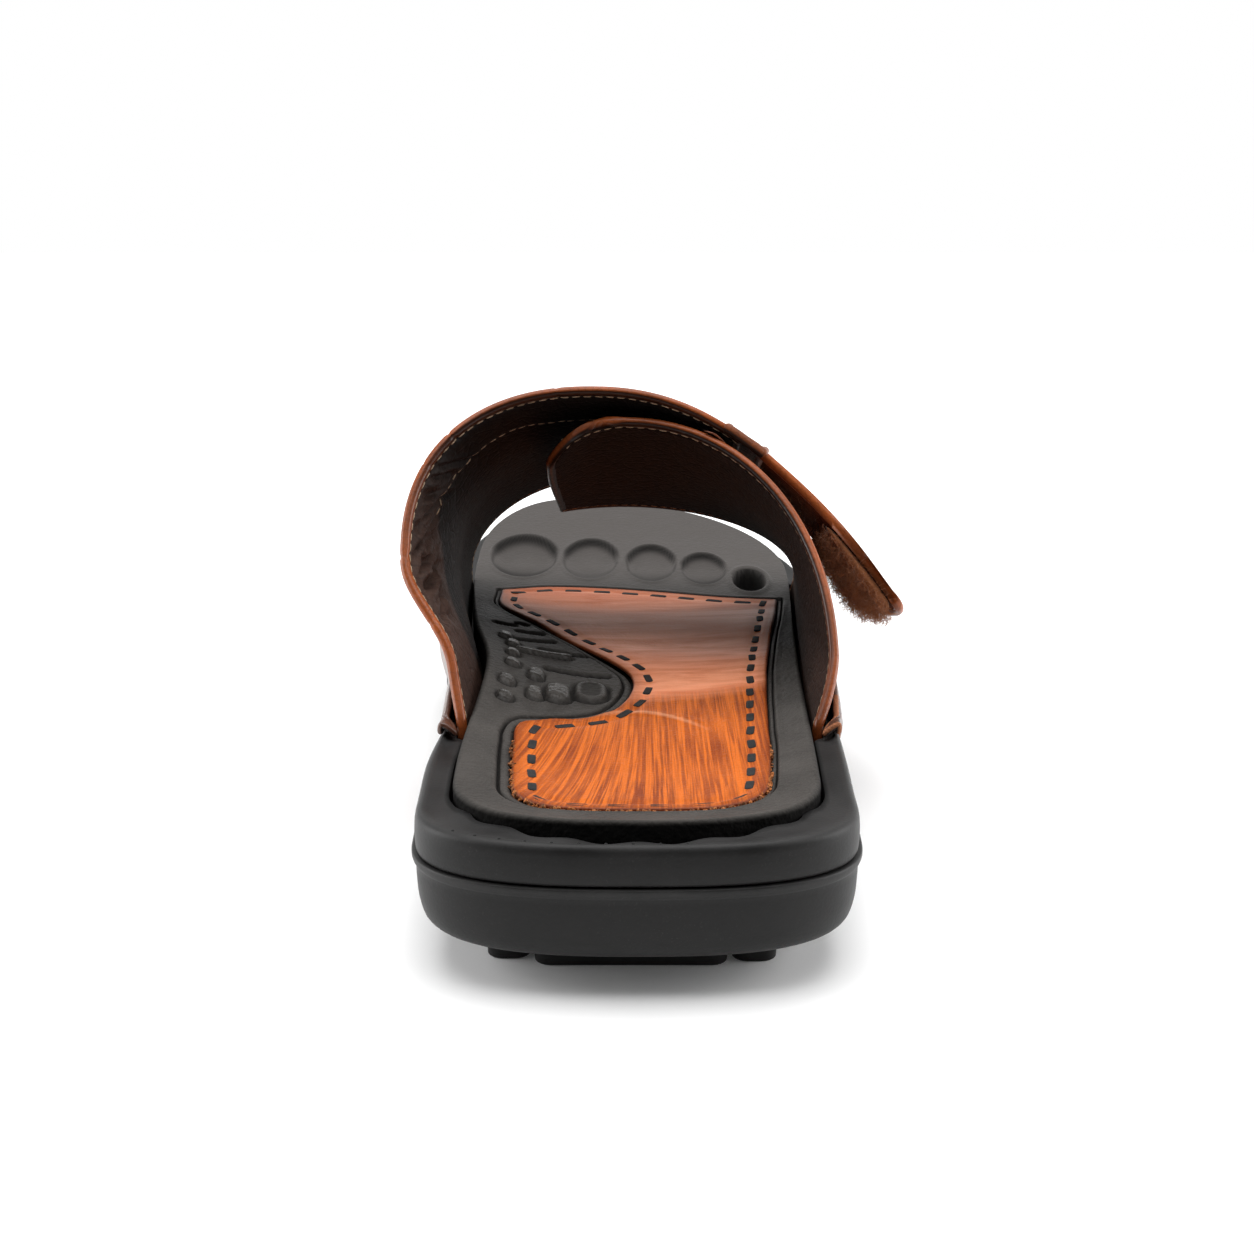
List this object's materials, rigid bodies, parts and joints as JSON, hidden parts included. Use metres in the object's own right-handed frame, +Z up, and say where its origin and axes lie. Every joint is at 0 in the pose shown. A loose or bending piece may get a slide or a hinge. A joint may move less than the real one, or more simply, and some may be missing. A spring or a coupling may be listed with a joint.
{
  "type": "cross-strap slide sandal",
  "caption": "Right-foot slide sandal with crossed brown leather straps, a hook-and-loop tab and a tan leather inlay on a thick black rubber sole.",
  "frame": {"origin": "middle of the heel tread, on the floor plane that heel and forefoot stand on", "axes": "+Y along the foot from heel to toe, +X to the lateral (outer) side, +Z up from the floor"},
  "size_m": [0.1193, 0.282, 0.0984],
  "materials": {
    "sole_rubber": "matt black moulded rubber",
    "footbed_foam": "matt charcoal moulded foam with a fine pebbled skin",
    "tan_leather": "streaked orange-brown leather with a soft sheen",
    "brown_leather": "chestnut leather with rolled glossy edges",
    "dark_leather": "dark brown leather",
    "loop_pile": "brown brushed loop pile"
  },
  "bodies": {
    "root": {"outsole": "sole_rubber", "midsole": "sole_rubber", "footbed": "footbed_foam", "footbed_inlay": "tan_leather", "upper": "brown_leather", "medial_side_cover": "dark_leather", "lateral_side_cover": "dark_leather", "strap_keeper": "dark_leather", "closure_tab": "brown_leather", "loop_pile": "loop_pile"}
  },
  "joints": []
}
